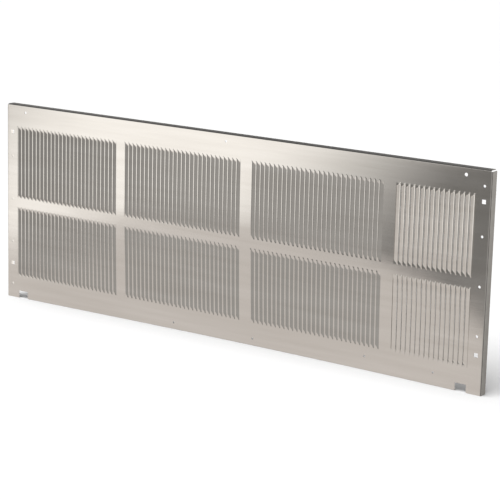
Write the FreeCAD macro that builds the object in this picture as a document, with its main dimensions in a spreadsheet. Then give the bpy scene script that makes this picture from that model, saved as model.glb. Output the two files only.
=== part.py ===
"""Stamped, louvred aluminium outdoor grille for a through-the-wall heating and cooling unit.

Frame, in millimetres: X to the right seen from outdoors, Y into the wall, Z up. The origin is
the middle of the panel, on the back face of the sheet, which seats against the wall sleeve.

The grille is one pressed sheet. Its rim is bent back at the top, left and right, its bottom edge
has a small return between two notches, and its slats are slit out of the sheet and twisted, so
that each slat is still part of the sheet at both ends.
"""
import FreeCAD, Part
import os

import Sketcher

# Distances across are from the panel's left edge, and drops are from its top edge.
DIMENSIONS = {
    "panel_width": 1066.8,
    "panel_height": 387.35,
    "sheet_gauge": 1.0,
    "flange_depth": 15.0,
    "return_depth": 3.0,
    "bend_radius": 2.0,
    "relief_side": 2.6,
    "shortest_bend": 50.0,
    "edge_cut_depth": 45.0,
    "face_cut_depth": 4.0,
    "notch_inset": 29.5,
    "notch_width": 22.0,
    "notch_height": 14.5,
    "slat_pitch": 9.525,
    "slit_width": 0.1,
    "slat_turn": 10.0,
    "twist_length": 5.2,
    "upper_drop": 42.0,
    "upper_length": 144.0,
    "lower_drop": 203.0,
    "lower_length": 140.0,
    "screw_hole": 4.8,
    "lifting_hole": 6.4,
    "drain_hole": 4.0,
    "square_hole": 7.5,
    "column_inset": 13.4,
    "column_end": 28.0,
    "column_pitch": 85.725,
    "square_drop": 54.5,
    "square_spacing": 263.5,
    "first_slats": 26,
    "second_slats": 28,
    "third_slats": 29,
    "fourth_slats": 16,
    "first_middle": 150.0,
    "second_middle": 427.0,
    "third_middle": 722.5,
    "fourth_middle": 961.5,
    "top_left_across": 47.0,
    "top_left_drop": 14.0,
    "top_middle_across": 527.0,
    "top_middle_drop": 14.0,
    "top_right_across": 1018.0,
    "top_right_drop": 13.0,
    "drain_one_across": 409.0,
    "drain_one_drop": 374.0,
    "drain_two_across": 589.0,
    "drain_two_drop": 374.0,
    "drain_three_across": 831.0,
    "drain_three_drop": 361.5,
    "drain_four_across": 971.0,
    "drain_four_drop": 364.0,
}
ROWS = ("upper", "lower")
# Which way each bank's slats are turned about the vertical, seen from above.
BANK_TURNS = {"first": 1, "second": 1, "third": 1, "fourth": -1}
# The single holes, with the alias of each one's diameter.
SINGLE_HOLES = {
    "top_left": "screw_hole",
    "top_middle": "screw_hole",
    "top_right": "lifting_hole",
    "drain_one": "drain_hole",
    "drain_two": "drain_hole",
    "drain_three": "drain_hole",
    "drain_four": "drain_hole",
}
HOLES_PER_COLUMN = 4
SQUARES_PER_COLUMN = 2
# Every outline starts at this size, and its bound constraints then give it its own.
START_SIDE = 5.0
SAME_PLACE = 1e-4

LEFT = "-dims.panel_width / 2"
TOP = "dims.panel_height / 2"
BOTTOM = "-dims.panel_height / 2"

document = FreeCAD.newDocument("outdoor_grille")
dims = document.addObject("Spreadsheet::Sheet", "dims")
for line, (alias, value) in enumerate(DIMENSIONS.items(), 1):
    dims.set("A%d" % line, alias)
    dims.set("B%d" % line, str(value))
    dims.setAlias("B%d" % line, alias)
document.recompute()


def size(alias):
    """A driving dimension, read back from the sheet."""
    return float(dims.get(alias))


# Sketches on the sheet's back face

def new_sketch(body, name):
    """A sketch on the back face of the sheet: X across, and the sketch's Y up the panel."""
    plane = next(item for item in body.Origin.OriginFeatures if item.Role == "XZ_Plane")
    sketch = body.newObject("Sketcher::SketchObject", name)
    sketch.AttachmentSupport = (plane, [""])
    sketch.MapMode = "FlatFace"
    return sketch


def constrain(sketch, name, kind, places, expression):
    """Add one sized constraint and bind it to the sheet."""
    sketch.addConstraint(Sketcher.Constraint(kind, *places, START_SIDE))
    sketch.renameConstraint(sketch.ConstraintCount - 1, name)
    sketch.setExpression("Constraints." + name, expression)


def add_rectangle(sketch, name, left, bottom, width, height):
    """A rectangle placed by its lower left corner. Every measure is an expression."""
    first = sketch.GeometryCount
    corners = [FreeCAD.Vector(x * START_SIDE, y * START_SIDE, 0) for x, y in ((0, 0), (1, 0), (1, 1), (0, 1))]
    for side in range(4):
        sketch.addGeometry(Part.LineSegment(corners[side], corners[(side + 1) % 4]), False)
    for side in range(4):
        sketch.addConstraint(Sketcher.Constraint("Coincident", first + side, 2, first + (side + 1) % 4, 1))
    for side in (0, 2):
        sketch.addConstraint(Sketcher.Constraint("Horizontal", first + side))
        sketch.addConstraint(Sketcher.Constraint("Vertical", first + side + 1))
    constrain(sketch, name + "_width", "DistanceX", (first, 1, first, 2), width)
    constrain(sketch, name + "_height", "DistanceY", (first + 1, 1, first + 1, 2), height)
    constrain(sketch, name + "_left", "DistanceX", (-1, 1, first, 1), left)
    constrain(sketch, name + "_bottom", "DistanceY", (-1, 1, first, 1), bottom)


def add_circle(sketch, name, across, up, diameter):
    """A circle placed by its centre. Every measure is an expression."""
    index = sketch.GeometryCount
    start = Part.Circle(FreeCAD.Vector(START_SIDE, START_SIDE, 0), FreeCAD.Vector(0, 0, 1), START_SIDE)
    sketch.addGeometry(start, False)
    constrain(sketch, name + "_diameter", "Diameter", (index,), diameter)
    constrain(sketch, name + "_across", "DistanceX", (-1, 1, index, 3), across)
    constrain(sketch, name + "_up", "DistanceY", (-1, 1, index, 3), up)


def pad(body, sketch, name, length, backwards):
    """Pad a sketch forwards, to make the sheet, or backwards, to make a flange."""
    feature = body.newObject("PartDesign::Pad", name)
    feature.Profile = sketch
    feature.Reversed = backwards
    feature.setExpression("Length", length)
    document.recompute()


def cut(body, sketch, name, length):
    """Cut a sketch through the metal on both sides of the back face, and check that it cut."""
    before = body.Shape.Volume
    feature = body.newObject("PartDesign::Pocket", name)
    feature.Profile = sketch
    feature.Midplane = True
    feature.setExpression("Length", length)
    document.recompute()
    if not body.Shape.Volume < before:
        raise RuntimeError(name + " cut nothing")


# The blank: sheet, flanges, bends and openings

def make_blank():
    """The pressed sheet before its slats are put in."""
    body = document.addObject("PartDesign::Body", "blank")
    add_sheet_and_flanges(body)
    cut_edges(body)
    round_bends(body)
    cut_windows(body)
    cut_holes(body)
    return body


def add_sheet_and_flanges(body):
    outline = new_sketch(body, "sheet_outline")
    add_rectangle(outline, "sheet", LEFT, BOTTOM, "dims.panel_width", "dims.panel_height")
    pad(body, outline, "flat_sheet", "dims.sheet_gauge", False)

    top = new_sketch(body, "top_outline")
    add_rectangle(top, "top", LEFT, TOP + " - dims.sheet_gauge", "dims.panel_width", "dims.sheet_gauge")
    pad(body, top, "top_flange", "dims.flange_depth", True)
    for side, start in (("left", LEFT), ("right", "dims.panel_width / 2 - dims.sheet_gauge")):
        edge = new_sketch(body, side + "_outline")
        add_rectangle(edge, side, start, BOTTOM, "dims.sheet_gauge", "dims.panel_height")
        pad(body, edge, side + "_flange", "dims.flange_depth", True)

    hem = new_sketch(body, "return_outline")
    add_rectangle(hem, "hem", LEFT + " + dims.notch_inset + dims.notch_width", BOTTOM,
                  "dims.panel_width - 2 * (dims.notch_inset + dims.notch_width)", "dims.sheet_gauge")
    pad(body, hem, "bottom_return", "dims.return_depth", True)


def cut_edges(body):
    """The notches at the bottom, and the reliefs where the top flange meets the side flanges."""
    outline = new_sketch(body, "edge_cuts")
    add_rectangle(outline, "left_notch", LEFT + " + dims.notch_inset", BOTTOM,
                  "dims.notch_width", "dims.notch_height")
    add_rectangle(outline, "right_notch", "dims.panel_width / 2 - dims.notch_inset - dims.notch_width",
                  BOTTOM, "dims.notch_width", "dims.notch_height")
    for side, start in (("left", LEFT), ("right", "dims.panel_width / 2 - dims.relief_side")):
        add_rectangle(outline, side + "_relief", start, TOP + " - dims.relief_side",
                      "dims.relief_side", "dims.relief_side")
    cut(body, outline, "notches_and_reliefs", "dims.edge_cut_depth")


def bend_edges(shape, depth, inset):
    """The edges of the bends that run at a depth, inset from the panel's outline."""
    names = []
    for number, edge in enumerate(shape.Edges, 1):
        middle = edge.CenterOfMass
        at_depth = abs(middle.y - depth) < SAME_PLACE
        at_side = abs(abs(middle.x) - size("panel_width") / 2 + inset) < SAME_PLACE
        at_end = abs(abs(middle.z) - size("panel_height") / 2 + inset) < SAME_PLACE
        is_bend = edge.Length > size("shortest_bend")
        if at_depth and (at_side or at_end) and is_bend:
            names.append("Edge%d" % number)
    return names


def round_bends(body):
    """Round the outside and the inside of every bend."""
    gauge = size("sheet_gauge")
    for name, depth, inset, radius in (
            ("outside_bends", -gauge, 0.0, "dims.bend_radius"),
            ("inside_bends", 0.0, gauge, "dims.bend_radius - dims.sheet_gauge")):
        base = body.Tip
        edges = bend_edges(base.Shape, depth, inset)
        feature = body.newObject("PartDesign::Fillet", name)
        feature.Base = (base, edges)
        feature.setExpression("Radius", radius)
        document.recompute()


def cut_windows(body):
    """One window for each bank of slats in each row."""
    outline = new_sketch(body, "window_outline")
    for row in ROWS:
        for bank in BANK_TURNS:
            width = "(dims.%s_slats * dims.slat_pitch + dims.slit_width)" % bank
            add_rectangle(outline, row + "_" + bank,
                          "%s + dims.%s_middle - %s / 2" % (LEFT, bank, width),
                          "%s - dims.%s_drop - dims.%s_length" % (TOP, row, row),
                          width, "dims.%s_length" % row)
    cut(body, outline, "windows", "dims.face_cut_depth")


def cut_holes(body):
    """The screw columns at the sides, the square holes beside them, and the single holes."""
    outline = new_sketch(body, "hole_outline")
    for place in range(HOLES_PER_COLUMN):
        from_end = "(dims.column_end + %d * dims.column_pitch)" % place
        add_circle(outline, "right_screw_%d" % place, "dims.panel_width / 2 - dims.column_inset",
                   "%s - %s" % (TOP, from_end), "dims.screw_hole")
        add_circle(outline, "left_screw_%d" % place, LEFT + " + dims.column_inset",
                   "%s + %s" % (BOTTOM, from_end), "dims.screw_hole")
    for side, middle in (("left", LEFT + " + dims.column_inset"),
                         ("right", "dims.panel_width / 2 - dims.column_inset")):
        for place in range(SQUARES_PER_COLUMN):
            add_rectangle(outline, "%s_square_%d" % (side, place), middle + " - dims.square_hole / 2",
                          "%s - dims.square_drop - %d * dims.square_spacing - dims.square_hole / 2"
                          % (TOP, place), "dims.square_hole", "dims.square_hole")
    for hole, diameter in SINGLE_HOLES.items():
        add_circle(outline, hole, "%s + dims.%s_across" % (LEFT, hole),
                   "%s - dims.%s_drop" % (TOP, hole), "dims." + diameter)
    cut(body, outline, "holes", "dims.face_cut_depth")


# The slats: a twisted loft has no primitive, so Part makes it from the sheet's sizes

def slat_section(turn, level):
    """The slat's section at one height, turned about the slat's own middle line."""
    half_width = (size("slat_pitch") - size("slit_width")) / 2
    half_gauge = size("sheet_gauge") / 2
    turned = FreeCAD.Rotation(FreeCAD.Vector(0, 0, 1), turn)
    corners = []
    for across, deep in ((-1, -1), (1, -1), (1, 1), (-1, 1)):
        corner = FreeCAD.Vector(across * half_width, deep * half_gauge, 0)
        corners.append(turned.multVec(corner) + FreeCAD.Vector(0, -half_gauge, level))
    return Part.makePolygon(corners + corners[:1])


def make_slat(length, turn):
    """One slat, in the plane of the sheet at both ends and turned between its two twists."""
    twist = size("twist_length")
    levels = ((0.0, 0.0), (turn, twist), (turn, length - twist), (0.0, length))
    sections = [slat_section(angle, level) for angle, level in levels]
    return Part.makeLoft(sections, True, True)


def make_slat_bank(row, bank):
    """The slats of one window, spaced by the pitch."""
    length = size(row + "_length")
    pitch = size("slat_pitch")
    count = int(size(bank + "_slats"))
    first = size(bank + "_middle") - size("panel_width") / 2 - (count - 1) / 2 * pitch
    bottom = size("panel_height") / 2 - size(row + "_drop") - length
    pattern = make_slat(length, BANK_TURNS[bank] * size("slat_turn"))
    slats = []
    for number in range(count):
        slat = pattern.copy()
        slat.translate(FreeCAD.Vector(first + number * pitch, 0, bottom))
        slats.append(slat)
    feature = document.addObject("Part::Feature", "%s_%s_slats" % (row, bank))
    feature.Shape = Part.makeCompound(slats)
    feature.Placement = FreeCAD.Placement()
    return feature


def make_grille_panel():
    """The whole pressed sheet: every slat joined to the blank at both ends."""
    pieces = [make_blank()]
    for row in ROWS:
        for bank in BANK_TURNS:
            pieces.append(make_slat_bank(row, bank))
    panel = document.addObject("Part::MultiFuse", "grille_panel")
    panel.Label = "grille_panel"
    panel.Shapes = pieces
    panel.Refine = False
    panel.Placement = FreeCAD.Placement()
    return panel


grille_panel = make_grille_panel()
document.recompute()

for item in document.Objects:
    if "Invalid" in item.State or "Error" in item.State:
        raise RuntimeError("%s is in state %s" % (item.Name, item.State))
shape = grille_panel.Shape
if shape.isNull() or not shape.isValid():
    raise RuntimeError("grille_panel has no valid shape")
if len(shape.Solids) != 1:
    raise RuntimeError("grille_panel is %d solids, not one sheet" % len(shape.Solids))

os.makedirs("parts", exist_ok=True)
shape.exportStep("parts/%s.step" % grille_panel.Label)
box = shape.BoundBox
print("grille_panel: %.1f x %.1f x %.1f mm, %.1f cm3, %d faces"
      % (box.XLength, box.YLength, box.ZLength, shape.Volume / 1000, len(shape.Faces)))
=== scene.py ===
"""Looks of the louvred outdoor grille: the pressed aluminium sheet, a pale studio and the camera."""
import math
from collections import namedtuple

import bmesh
import bpy
from mathutils import Matrix, Vector
from mathutils.geometry import delaunay_2d_cdt


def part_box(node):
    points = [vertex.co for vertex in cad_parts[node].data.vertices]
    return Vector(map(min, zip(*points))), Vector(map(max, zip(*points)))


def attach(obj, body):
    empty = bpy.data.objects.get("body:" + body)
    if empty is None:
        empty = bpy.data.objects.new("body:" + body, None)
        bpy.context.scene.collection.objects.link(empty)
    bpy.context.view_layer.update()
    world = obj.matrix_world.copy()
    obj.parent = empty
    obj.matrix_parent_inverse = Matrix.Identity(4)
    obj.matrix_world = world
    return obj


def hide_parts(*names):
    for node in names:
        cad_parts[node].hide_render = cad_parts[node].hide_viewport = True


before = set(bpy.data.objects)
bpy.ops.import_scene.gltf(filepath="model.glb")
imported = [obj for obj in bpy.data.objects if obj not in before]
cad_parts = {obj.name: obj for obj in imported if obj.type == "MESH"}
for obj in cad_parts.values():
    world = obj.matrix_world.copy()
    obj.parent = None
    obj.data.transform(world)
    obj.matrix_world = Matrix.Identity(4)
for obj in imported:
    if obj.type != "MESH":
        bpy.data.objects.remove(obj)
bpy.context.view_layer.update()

LOW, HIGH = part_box("grille_panel")
MM = 0.001

# Sizes in millimetres. Across is from the panel's left edge, and drop from its top edge. The
# flanges' depth is from the back of the flat sheet.
WIDTH = (HIGH[0] - LOW[0]) / MM
HEIGHT = (HIGH[2] - LOW[2]) / MM
DEPTH = HIGH[1] / MM
GAUGE = 1.0

# The flanges at the top and sides, the short return along the bottom, the reliefs in the top corners
# and the notches in the bottom edge.
BEND, BEND_STEPS = 2.0, 9
RETURN_DEPTH = 3.0
RELIEF = 2.6
NOTCH_INSET, NOTCH_WIDTH, NOTCH_HEIGHT = 29.5, 22.0, 14.5

# The slats: slit apart and turned about their middle lines, with the forward edge rolled back in a
# shallow lip.
PITCH, SLIT = 9.525, 0.1
TURN = math.radians(10.0)
LIP_WIDTH, LIP_DROP, LIP_STEPS = 3.0, 0.4, 4
# Each slat turns out of the sheet over a short twist, and its creases run at a slant. The top one
# goes from the corner at the slat's forward edge to this far down its other edge. The bottom one goes
# from this far up the slat's left edge to the corner at its right edge, in every bank.
TWIST, CREASE_SLANT = 1.6, 7.0
TWIST_STEPS, STRAIGHT_STEPS = 2, 4
# The top and bottom of each row of slats.
ROWS = ((42.0, 186.0), (203.0, 343.0))
# Where each bank's middle is, its number of slats, and whether their forward edges are at the left.
Bank = namedtuple("Bank", "middle count forward_left")
BANKS = (Bank(150.0, 26, True), Bank(427.0, 28, True), Bank(722.5, 29, True), Bank(961.5, 16, False))

# The holes. One column of round holes starts near the top right and the other near the bottom left.
COLUMN_INSET, COLUMN_END, COLUMN_PITCH, HOLES_PER_COLUMN = 13.4, 28.0, 85.725, 4
SQUARE_SIDE, SQUARE_DROP, SQUARE_SPACING = 7.5, 54.5, 263.5
SCREW_HOLE, LIFTING_HOLE, DRAIN_HOLE = 4.8, 6.4, 4.0
SINGLE_HOLES = (
    (47.0, 14.0, SCREW_HOLE), (527.0, 14.0, SCREW_HOLE), (1018.0, 13.0, LIFTING_HOLE),
    (409.0, 374.0, DRAIN_HOLE), (589.0, 374.0, DRAIN_HOLE),
    (831.0, 361.5, DRAIN_HOLE), (971.0, 364.0, DRAIN_HOLE),
)
HOLE_POINTS = 20

# The loose bottom edge is bowed back, deepest to the right of its middle.
BOW_DEPTH, BOW_PEAK_ACROSS, BOW_SHARPNESS = 11.3, 590.0, 2.7

# The mesh: how far apart its points are on the flat sheet and along edges, and how its edges and
# creases are finished.
MESH_STEP, EDGE_STEP = 9.0, 6.0
CLEAR_OF_OUTLINES = MESH_STEP / 3
EDGE_ROUND, ROUND_STEPS, SHARP_ANGLE = 0.3, 2, math.radians(35)
NORMAL_WEIGHT = 50
# How close two heights or two points are when they count as the same, and the triangulation's form
# of output that keeps every triangle.
SAME_HEIGHT, SAME_POINT, ALL_TRIANGLES = 0.01, 1e-5, 0


# Placing a point of the sheet, given by across and drop, in the frame

def clamp(value):
    return min(1.0, max(0.0, value))


def bow(across, drop):
    """How far the loose bottom edge is bowed back between the bends of the two stiff side flanges."""
    span = WIDTH - 2 * BEND
    share = (across - BEND) / span
    if not 0 < share < 1:
        return 0.0
    to_peak = math.log(0.5) / math.log((BOW_PEAK_ACROSS - BEND) / span)
    return BOW_DEPTH * math.sin(math.pi * share ** to_peak) * clamp(drop / HEIGHT) ** BOW_SHARPNESS


def place(across, drop, back=0.0):
    """A point of the sheet's middle surface, moved back by a distance, in metres."""
    middle = -GAUGE / 2
    return Vector((across - WIDTH / 2, middle + back + bow(across, drop), HEIGHT / 2 - drop)) * MM


# The outlines

def line_points(start, end, step):
    """Points from start up to, but not at, end."""
    count = max(1, round(math.dist(start, end) / step))
    run, fall = end[0] - start[0], end[1] - start[1]
    return [(start[0] + run * k / count, start[1] + fall * k / count) for k in range(count)]


def loop_points(corners, step):
    points = []
    for index, corner in enumerate(corners):
        points += line_points(corner, corners[(index + 1) % len(corners)], step)
    return points


def circle_points(across, drop, diameter):
    radius = diameter / 2
    turns = [2 * math.pi * k / HOLE_POINTS for k in range(HOLE_POINTS)]
    return [(across + radius * math.cos(turn), drop + radius * math.sin(turn)) for turn in turns]


def square_points(across, drop, side):
    half = side / 2
    return [(across - half, drop - half), (across + half, drop - half),
            (across + half, drop + half), (across - half, drop + half)]


def flat_outline():
    """The part of the sheet that isn't bent, and the notches and reliefs cut into its edge."""
    left, right, top, foot = BEND, WIDTH - BEND, BEND, HEIGHT - BEND
    notch_left, notch_right = NOTCH_INSET, WIDTH - NOTCH_INSET
    inner_left, inner_right = notch_left + NOTCH_WIDTH, notch_right - NOTCH_WIDTH
    shoulder = HEIGHT - NOTCH_HEIGHT
    return [
        (RELIEF, top), (WIDTH - RELIEF, top), (WIDTH - RELIEF, RELIEF), (right, RELIEF),
        (right, HEIGHT), (notch_right, HEIGHT), (notch_right, shoulder), (inner_right, shoulder),
        (inner_right, foot), (inner_left, foot),
        (inner_left, shoulder), (notch_left, shoulder), (notch_left, HEIGHT), (left, HEIGHT),
        (left, RELIEF), (RELIEF, RELIEF),
    ]


def hole_outlines():
    holes = [circle_points(*hole) for hole in SINGLE_HOLES]
    for number in range(HOLES_PER_COLUMN):
        from_end = COLUMN_END + number * COLUMN_PITCH
        holes.append(circle_points(WIDTH - COLUMN_INSET, from_end, SCREW_HOLE))
        holes.append(circle_points(COLUMN_INSET, HEIGHT - from_end, SCREW_HOLE))
    for across in (COLUMN_INSET, WIDTH - COLUMN_INSET):
        for drop in (SQUARE_DROP, SQUARE_DROP + SQUARE_SPACING):
            holes.append(square_points(across, drop, SQUARE_SIDE))
    return holes


def inside(point, loop):
    """Whether a point lies inside a closed loop."""
    found = False
    x, y = point
    for index, (x1, y1) in enumerate(loop):
        x2, y2 = loop[(index + 1) % len(loop)]
        if (y1 > y) != (y2 > y) and x < x1 + (x2 - x1) * (y - y1) / (y2 - y1):
            found = not found
    return found


def box_of(loop):
    across, drops = zip(*loop)
    return min(across), min(drops), max(across), max(drops)


def in_box(point, box):
    return box[0] <= point[0] <= box[2] and box[1] <= point[1] <= box[3]


# The places of the slats

def slat_span(bank, number):
    """A slat's left and right edges."""
    centre = bank.middle + (number - (bank.count - 1) / 2) * PITCH
    return centre - (PITCH - SLIT) / 2, centre + (PITCH - SLIT) / 2


def across_slat(bank, slat):
    """Places across a slat, from left to right: close together on its lip, then wide apart."""
    left, right = slat
    lip = [LIP_WIDTH * k / LIP_STEPS for k in range(LIP_STEPS + 1)]
    from_forward = lip + [(LIP_WIDTH + right - left) / 2, right - left]
    if bank.forward_left:
        return [left + distance for distance in from_forward]
    return [right - distance for distance in reversed(from_forward)]


def end_stations(crease):
    """Distances from a slat's end: the end itself, the crease and the twist beyond it."""
    return [0.0] + [crease + TWIST * k / TWIST_STEPS for k in range(TWIST_STEPS + 1)]


def slat_stations(length, top_crease, foot_crease):
    """Places down a slat, from its top end to its foot."""
    twist_end = TWIST + CREASE_SLANT
    straight = [twist_end + (length - 2 * twist_end) * k / STRAIGHT_STEPS for k in range(1, STRAIGHT_STEPS)]
    foot = [length - from_foot for from_foot in reversed(end_stations(foot_crease))]
    return end_stations(top_crease) + straight + foot


def window_points(bank, row):
    """A window's outline, with a point wherever a slat's own point meets its top or bottom edge."""
    half = (bank.count * PITCH + SLIT) / 2
    left, right = bank.middle - half, bank.middle + half
    top, bottom = row
    stations = []
    for number in range(bank.count):
        stations += across_slat(bank, slat_span(bank, number))
    points = [(left, top)] + [(across, top) for across in stations]
    points += line_points((right, top), (right, bottom), EDGE_STEP)
    points += [(right, bottom)] + [(across, bottom) for across in reversed(stations)]
    points += line_points((left, bottom), (left, top), EDGE_STEP)
    return points


# The mesh of the sheet's middle surface

class Surface:
    """Points and faces, with points at the same place made only once."""

    def __init__(self):
        self.points, self.faces, self.known = [], [], {}

    def point(self, spot):
        key = tuple(round(value / MM, 3) for value in spot)
        if key not in self.known:
            self.known[key] = len(self.points)
            self.points.append(spot)
        return self.known[key]

    def face(self, spots):
        corners = [self.point(spot) for spot in spots]
        corners = [corner for k, corner in enumerate(corners) if corner != corners[k - 1]]
        if len(corners) > 2:
            self.faces.append(corners)

    def grid(self, columns):
        for one, two in zip(columns, columns[1:]):
            for k in range(len(one) - 1):
                self.face([one[k], one[k + 1], two[k + 1], two[k]])


def filler_points(rim, boxes):
    """A square grid of points inside the rim, away from it and from the windows and holes."""
    steps = (-CLEAR_OF_OUTLINES, 0, CLEAR_OF_OUTLINES)
    points = []
    for column in range(1, int(WIDTH / MESH_STEP)):
        for line in range(1, int(HEIGHT / MESH_STEP)):
            across, drop = column * MESH_STEP, line * MESH_STEP
            around = [(across + dx, drop + dy) for dx in steps for dy in steps]
            in_rim = all(inside(spot, rim) for spot in around)
            if in_rim and not any(in_box(spot, box) for box in boxes for spot in around):
                points.append(Vector((across, drop)))
    return points


def add_flat(surface):
    """The flat sheet round the windows, holes and notches, as a triangle mesh."""
    rim = flat_outline()
    windows = [window_points(bank, row) for bank in BANKS for row in ROWS]
    voids = windows + hole_outlines()
    boxes = [box_of(loop) for loop in voids]
    points, edges = [], []
    for loop in [loop_points(rim, EDGE_STEP)] + voids:
        first = len(points)
        points += [Vector(spot) for spot in loop]
        edges += [(first + k, first + (k + 1) % len(loop)) for k in range(len(loop))]
    points += filler_points(rim, boxes)
    flat_points, _, triangles, *_ = delaunay_2d_cdt(points, edges, [], ALL_TRIANGLES, SAME_POINT)
    for triangle in triangles:
        corners = [flat_points[k] for k in triangle]
        middle = sum(corners, Vector((0, 0))) / 3
        in_void = any(in_box(middle, box) and inside(middle, void) for box, void in zip(boxes, voids))
        if inside(middle, rim) and not in_void:
            surface.face([place(*corner) for corner in corners])


def bend_profile(reach):
    """A flange in section from where its bend starts: how far out, and how far back."""
    radius = BEND - GAUGE / 2
    turns = [math.pi / 2 * k / BEND_STEPS for k in range(BEND_STEPS + 1)]
    bend = [(radius * math.sin(turn), radius * (1 - math.cos(turn))) for turn in turns]
    straight = reach - (BEND - GAUGE)
    count = max(1, round(straight / EDGE_STEP))
    return bend + [(radius, radius + straight * k / count) for k in range(1, count + 1)]


def add_flange(surface, start, end, outward, reach):
    """A flange along the straight line from start to end, bent back from the sheet."""
    columns = []
    for across, drop in line_points(start, end, EDGE_STEP) + [end]:
        foot = place(across, drop)
        columns.append([foot + Vector((outward[0] * out, back, -outward[1] * out)) * MM
                        for out, back in bend_profile(reach)])
    surface.grid(columns)


def add_flanges(surface):
    left, right, top, foot = BEND, WIDTH - BEND, BEND, HEIGHT - BEND
    inner_left, inner_right = NOTCH_INSET + NOTCH_WIDTH, WIDTH - NOTCH_INSET - NOTCH_WIDTH
    add_flange(surface, (RELIEF, top), (WIDTH - RELIEF, top), (0, -1), DEPTH)
    add_flange(surface, (left, RELIEF), (left, HEIGHT), (-1, 0), DEPTH)
    add_flange(surface, (right, RELIEF), (right, HEIGHT), (1, 0), DEPTH)
    add_flange(surface, (inner_left, foot), (inner_right, foot), (0, 1), RETURN_DEPTH)


def turn_slat_point(bank, slat, across, formed):
    """Where a point of a slat goes, across and back, once the slat is this far formed, from 0 to 1."""
    left, right = slat
    side = 1 if bank.forward_left else -1
    from_forward = across - left if bank.forward_left else right - across
    turned = TURN * formed
    lip = LIP_DROP * formed * max(0.0, 1 - from_forward / LIP_WIDTH) ** 2
    reach = from_forward - (right - left) / 2
    moved = reach * math.cos(turned) - lip * math.sin(turned)
    back = reach * math.sin(turned) + lip * math.cos(turned)
    return (left + right) / 2 + side * moved, back


def slat_column(bank, slat, row, across):
    """The points down a slat, at one place across it."""
    left, right = slat
    top, bottom = row
    from_forward = across - left if bank.forward_left else right - across
    top_crease = CREASE_SLANT * from_forward / (right - left)
    foot_crease = CREASE_SLANT * (right - across) / (right - left)
    column = []
    for along in slat_stations(bottom - top, top_crease, foot_crease):
        past_crease = min(along - top_crease, bottom - top - along - foot_crease)
        moved, back = turn_slat_point(bank, slat, across, clamp(past_crease / TWIST))
        spot = place(across, top + along, back)
        spot.x += (moved - across) * MM
        column.append(spot)
    return column


def add_slats(surface):
    for bank in BANKS:
        for row in ROWS:
            for number in range(bank.count):
                slat = slat_span(bank, number)
                surface.grid([slat_column(bank, slat, row, across) for across in across_slat(bank, slat)])


# The panel

def face_outwards(mesh):
    """Turn every face the same way, so that the gauge goes on evenly."""
    work = bmesh.new()
    work.from_mesh(mesh)
    bmesh.ops.recalc_face_normals(work, faces=work.faces)
    work.to_mesh(mesh)
    work.free()


def mark_window_edges(mesh):
    """Keep the edges along the top and bottom of each row of windows sharp."""
    levels = [HEIGHT / 2 - drop for row in ROWS for drop in row]
    for edge in mesh.edges:
        heights = [mesh.vertices[corner].co.z / MM for corner in edge.vertices]
        if any(all(abs(height - level) < SAME_HEIGHT for height in heights) for level in levels):
            edge.use_edge_sharp = True


def make_middle_surface():
    surface = Surface()
    add_flat(surface)
    add_flanges(surface)
    add_slats(surface)
    mesh = bpy.data.meshes.new("middle_surface")
    mesh.from_pydata(surface.points, [], surface.faces)
    face_outwards(mesh)
    mesh.shade_smooth()
    mark_window_edges(mesh)
    return mesh


def add_thickness(panel):
    """Give the sheet its gauge, round its cut edges and even out its shading."""
    gauge = panel.modifiers.new("gauge", "SOLIDIFY")
    gauge.thickness = GAUGE * MM
    gauge.offset = 0.0
    gauge.use_even_offset = True
    rounding = panel.modifiers.new("edges", "BEVEL")
    rounding.width = EDGE_ROUND * MM
    rounding.segments = ROUND_STEPS
    rounding.limit_method = "ANGLE"
    rounding.angle_limit = SHARP_ANGLE
    rounding.harden_normals = True
    normals = panel.modifiers.new("normals", "WEIGHTED_NORMAL")
    normals.weight = NORMAL_WEIGHT
    normals.keep_sharp = True


def make_panel():
    middle = make_middle_surface()
    panel = bpy.data.objects.new("louvred_sheet", middle)
    bpy.context.scene.collection.objects.link(panel)
    add_thickness(panel)
    finished = bpy.data.meshes.new_from_object(panel.evaluated_get(bpy.context.evaluated_depsgraph_get()))
    finished.name = "louvred_sheet"
    panel.modifiers.clear()
    panel.data = finished
    bpy.data.meshes.remove(middle)
    return panel


# Materials

# Each of the metal's patterns: scale, detail, and stretch along X, Y and Z.
GRAIN = (900.0, 3.0, (0.03, 1.0, 1.0))
STREAKS = (60.0, 4.0, (0.05, 1.0, 1.0))
SMUDGES = (7.0, 5.0, (1.0, 1.0, 1.0))
# The part of a pattern's range that is used, and what it is turned into.
PATTERN_RANGE = (0.3, 0.7)
METAL_TINTS = ((0.80, 0.775, 0.74), (0.88, 0.86, 0.83))
SMUDGE_ROUGHNESS, GRAIN_ROUGHNESS = (0.05, 0.09), (0.0, 0.02)
GRAIN_BUMP, GRAIN_HEIGHT = 0.05, 0.1 * MM
FLOOR_COLOUR, FLOOR_ROUGHNESS = (0.9, 0.9, 0.9), 0.9


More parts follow.
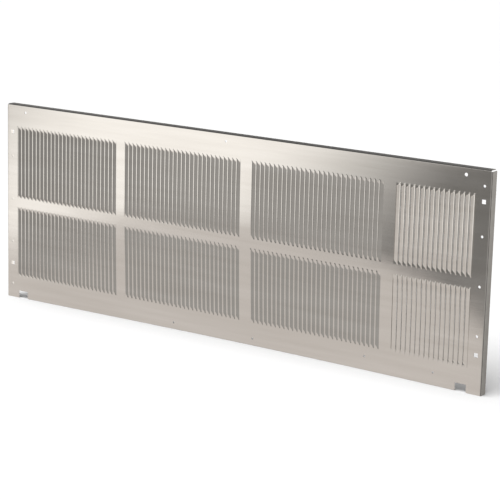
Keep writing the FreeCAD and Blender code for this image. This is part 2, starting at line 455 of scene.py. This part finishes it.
def make_mill_aluminium():
    """Mill-finish rolled aluminium: fine grain along the sheet, faint streaks and soft smudges."""
    material = bpy.data.materials.new("mill_aluminium")
    material.use_nodes = True
    nodes, links = material.node_tree.nodes, material.node_tree.links
    shader = nodes["Principled BSDF"]
    shader.inputs["Metallic"].default_value = 1.0
    where = nodes.new("ShaderNodeTexCoord")

    def pattern(scale, detail, stretch):
        mapping = nodes.new("ShaderNodeMapping")
        mapping.inputs["Scale"].default_value = stretch
        texture = nodes.new("ShaderNodeTexNoise")
        texture.inputs["Scale"].default_value = scale
        texture.inputs["Detail"].default_value = detail
        links.new(where.outputs["Object"], mapping.inputs["Vector"])
        links.new(mapping.outputs["Vector"], texture.inputs["Vector"])
        return texture.outputs["Fac"]

    def turned_into(value, low, high):
        node = nodes.new("ShaderNodeMapRange")
        node.inputs["From Min"].default_value, node.inputs["From Max"].default_value = PATTERN_RANGE
        node.inputs["To Min"].default_value = low
        node.inputs["To Max"].default_value = high
        links.new(value, node.inputs["Value"])
        return node.outputs["Result"]

    grain, streaks, smudges = pattern(*GRAIN), pattern(*STREAKS), pattern(*SMUDGES)

    tint = nodes.new("ShaderNodeValToRGB")
    for element, position, colour in zip(tint.color_ramp.elements, PATTERN_RANGE, METAL_TINTS):
        element.position = position
        element.color = (*colour, 1)
    links.new(streaks, tint.inputs["Fac"])
    links.new(tint.outputs["Color"], shader.inputs["Base Color"])

    rough = nodes.new("ShaderNodeMath")
    rough.operation = "ADD"
    links.new(turned_into(smudges, *SMUDGE_ROUGHNESS), rough.inputs[0])
    links.new(turned_into(grain, *GRAIN_ROUGHNESS), rough.inputs[1])
    links.new(rough.outputs["Value"], shader.inputs["Roughness"])

    bump = nodes.new("ShaderNodeBump")
    bump.inputs["Strength"].default_value = GRAIN_BUMP
    bump.inputs["Distance"].default_value = GRAIN_HEIGHT
    links.new(grain, bump.inputs["Height"])
    links.new(bump.outputs["Normal"], shader.inputs["Normal"])
    return material


def make_floor_material():
    material = bpy.data.materials.new("pale_floor")
    material.use_nodes = True
    shader = material.node_tree.nodes["Principled BSDF"]
    shader.inputs["Base Color"].default_value = (*FLOOR_COLOUR, 1)
    shader.inputs["Roughness"].default_value = FLOOR_ROUGHNESS
    return material


# Studio

# The camera, at the photograph's viewing angle. Its distance and shifts are from the middle of the
# panel's front.
CAMERA_AZIMUTH, CAMERA_ELEVATION, CAMERA_ROLL = (math.radians(a) for a in (34.697, 12.766, 1.477))
CAMERA_DISTANCE, CAMERA_RIGHT, CAMERA_UP = 3.4392, 0.0427, -0.02005
CAMERA_LENS, CAMERA_SENSOR = 135.94, 36.0
FLOOR_REACH = 40.0
SUN_STRENGTH, SUN_SPREAD, SUN_TILT = 3.7, math.radians(60), (math.radians(18), math.radians(-10), 0)

# The plain studio that the metal reflects. Its walls are mid grey, with one large white panel to the
# left of the camera and a dark opening beside it, soft panels in front and to the right, the dark
# room at the right, and a narrow white panel at the back. A pale table lies below, and the ceiling
# is dark.
# Bearings are in degrees from straight in front, to the right, and a brightness is given for each.
WALLS = ((-180, 0.7), (-160, 0.2), (-140, 0.5), (-46, 0.45), (-41, 1.1), (-34, 1.1), (-28, 0.15),
         (-16, 0.35), (-8, 0.35), (2, 0.5), (20, 0.2), (42, 0.45), (60, 0.08), (125, 0.08), (133, 0.5),
         (136, 1.2), (140, 1.2), (143, 0.5), (152, 0.4), (160, 0.2), (180, 0.7))
# The walls are faintly warm, and the table's top is warmer.
WALL_TINT = (1.0, 0.97, 0.93)
TABLE_COLOUR, CEILING_COLOUR = (0.62, 0.58, 0.55), (0.1, 0.1, 0.1)
# Where walls give way to table and ceiling, as the vertical part of the looking direction. The
# table's edge runs at a slant, lower to the right, by so much for each radian of bearing from where
# the slant starts, and the table ends between these two bearings.
WALL_TO_TABLE, TABLE_SLANT, SLANT_FROM = (-0.335, -0.345), 0.17, -0.9
TABLE_END = (math.radians(-20), math.radians(-24))
WALL_TO_CEILING = (0.0, 0.25)
# The white panel leans: each step down shifts the walls to the left by this much.
PANEL_LEAN, LEAN_FROM = 0.7, -0.17


def add_camera():
    azimuth, elevation = CAMERA_AZIMUTH, CAMERA_ELEVATION
    back = Vector((math.sin(azimuth) * math.cos(elevation), -math.cos(azimuth) * math.cos(elevation),
                   math.sin(elevation)))
    level = Vector((math.cos(azimuth), math.sin(azimuth), 0))
    upright = back.cross(level)
    right = math.cos(CAMERA_ROLL) * level + math.sin(CAMERA_ROLL) * upright
    up = math.cos(CAMERA_ROLL) * upright - math.sin(CAMERA_ROLL) * level
    matrix = Matrix((right, up, back)).transposed().to_4x4()
    front = Vector((0, -GAUGE * MM, 0))
    matrix.translation = front + right * CAMERA_RIGHT + up * CAMERA_UP + back * CAMERA_DISTANCE
    data = bpy.data.cameras.new("camera")
    data.lens = CAMERA_LENS
    data.sensor_width = CAMERA_SENSOR
    camera = bpy.data.objects.new("camera", data)
    camera.matrix_world = matrix
    bpy.context.scene.collection.objects.link(camera)
    bpy.context.scene.camera = camera


def add_floor():
    """The pale floor that the sheet's bottom edge touches."""
    mesh = bpy.data.meshes.new("floor")
    corners = ((-1, -1), (1, -1), (1, 1), (-1, 1))
    mesh.from_pydata([(x * FLOOR_REACH, y * FLOOR_REACH, LOW[2]) for x, y in corners], [], [(0, 1, 2, 3)])
    floor = bpy.data.objects.new("floor", mesh)
    bpy.context.scene.collection.objects.link(floor)
    mesh.materials.append(make_floor_material())
    floor.visible_glossy = False


def add_sun():
    """One broad, soft light from above. The metal reflects the room and not this light."""
    data = bpy.data.lights.new("soft_overhead", "SUN")
    data.energy = SUN_STRENGTH
    data.angle = SUN_SPREAD
    light = bpy.data.objects.new("soft_overhead", data)
    light.rotation_euler = SUN_TILT
    light.visible_glossy = False
    bpy.context.scene.collection.objects.link(light)


def add_room():
    """The world: plain white to the camera, and the studio in reflections and as soft light."""
    world = bpy.data.worlds.new("studio")
    bpy.context.scene.world = world
    world.use_nodes = True
    nodes, links = world.node_tree.nodes, world.node_tree.links
    nodes.clear()

    def calculate(operation, *values):
        """What a Math node makes of its values, which are numbers or other nodes' outputs."""
        node = nodes.new("ShaderNodeMath")
        node.operation = operation
        for socket, value in zip(node.inputs, values):
            if isinstance(value, float):
                socket.default_value = value
            else:
                links.new(value, socket)
        return node.outputs[0]

    def between(value, low, high):
        """Nought at low and one at high, evenly between."""
        node = nodes.new("ShaderNodeMapRange")
        node.inputs["From Min"].default_value = low
        node.inputs["From Max"].default_value = high
        links.new(value, node.inputs["Value"])
        return node.outputs["Result"]

    def around(table, share):
        """The walls' colour, by how far round the room it is."""
        node = nodes.new("ShaderNodeValToRGB")
        links.new(share, node.inputs["Fac"])
        elements = node.color_ramp.elements
        elements.remove(elements[-1])
        for index, (degrees, bright) in enumerate(table):
            position = (degrees + 180) / 360
            element = elements[0] if index == 0 else elements.new(position)
            element.position = position
            element.color = (*(bright * part for part in WALL_TINT), 1)
        return node.outputs["Color"]

    def blend(factor, one, two):
        """From one colour to two, where one is an output and two is a plain colour."""
        node = nodes.new("ShaderNodeMix")
        node.data_type = "RGBA"
        links.new(factor, node.inputs["Factor"])
        colours = [socket for socket in node.inputs if socket.type == "RGBA"]
        links.new(one, colours[0])
        colours[1].default_value = (*two, 1)
        return next(socket for socket in node.outputs if socket.type == "RGBA")

    def background(colour):
        node = nodes.new("ShaderNodeBackground")
        if isinstance(colour, tuple):
            node.inputs["Color"].default_value = (*colour, 1)
        else:
            links.new(colour, node.inputs["Color"])
        return node.outputs[0]

    direction = nodes.new("ShaderNodeSeparateXYZ")
    links.new(nodes.new("ShaderNodeTexCoord").outputs["Generated"], direction.inputs[0])
    height = direction.outputs["Z"]
    forward = calculate("MULTIPLY", direction.outputs["Y"], -1.0)
    bearing = calculate("ARCTAN2", direction.outputs["X"], forward)

    leaning = calculate("MULTIPLY_ADD", height, -PANEL_LEAN, PANEL_LEAN * LEAN_FROM)
    share = between(calculate("ADD", bearing, leaning), -math.pi, math.pi)
    edge = calculate("MULTIPLY_ADD", calculate("MAXIMUM", bearing, SLANT_FROM), TABLE_SLANT, height)
    on_table = calculate("MULTIPLY", between(edge, *WALL_TO_TABLE), between(bearing, *TABLE_END))
    room = blend(on_table, around(WALLS, share), TABLE_COLOUR)
    room = blend(between(height, *WALL_TO_CEILING), room, CEILING_COLOUR)

    mix = nodes.new("ShaderNodeMixShader")
    links.new(nodes.new("ShaderNodeLightPath").outputs["Is Camera Ray"], mix.inputs[0])
    links.new(background(room), mix.inputs[1])
    links.new(background((1.0, 1.0, 1.0)), mix.inputs[2])
    links.new(mix.outputs[0], nodes.new("ShaderNodeOutputWorld").inputs[0])


bpy.context.scene.view_settings.view_transform = "Standard"
add_camera()
add_room()
add_sun()
add_floor()

panel = make_panel()
panel.data.materials.append(make_mill_aluminium())
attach(panel, "root")
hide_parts("grille_panel")
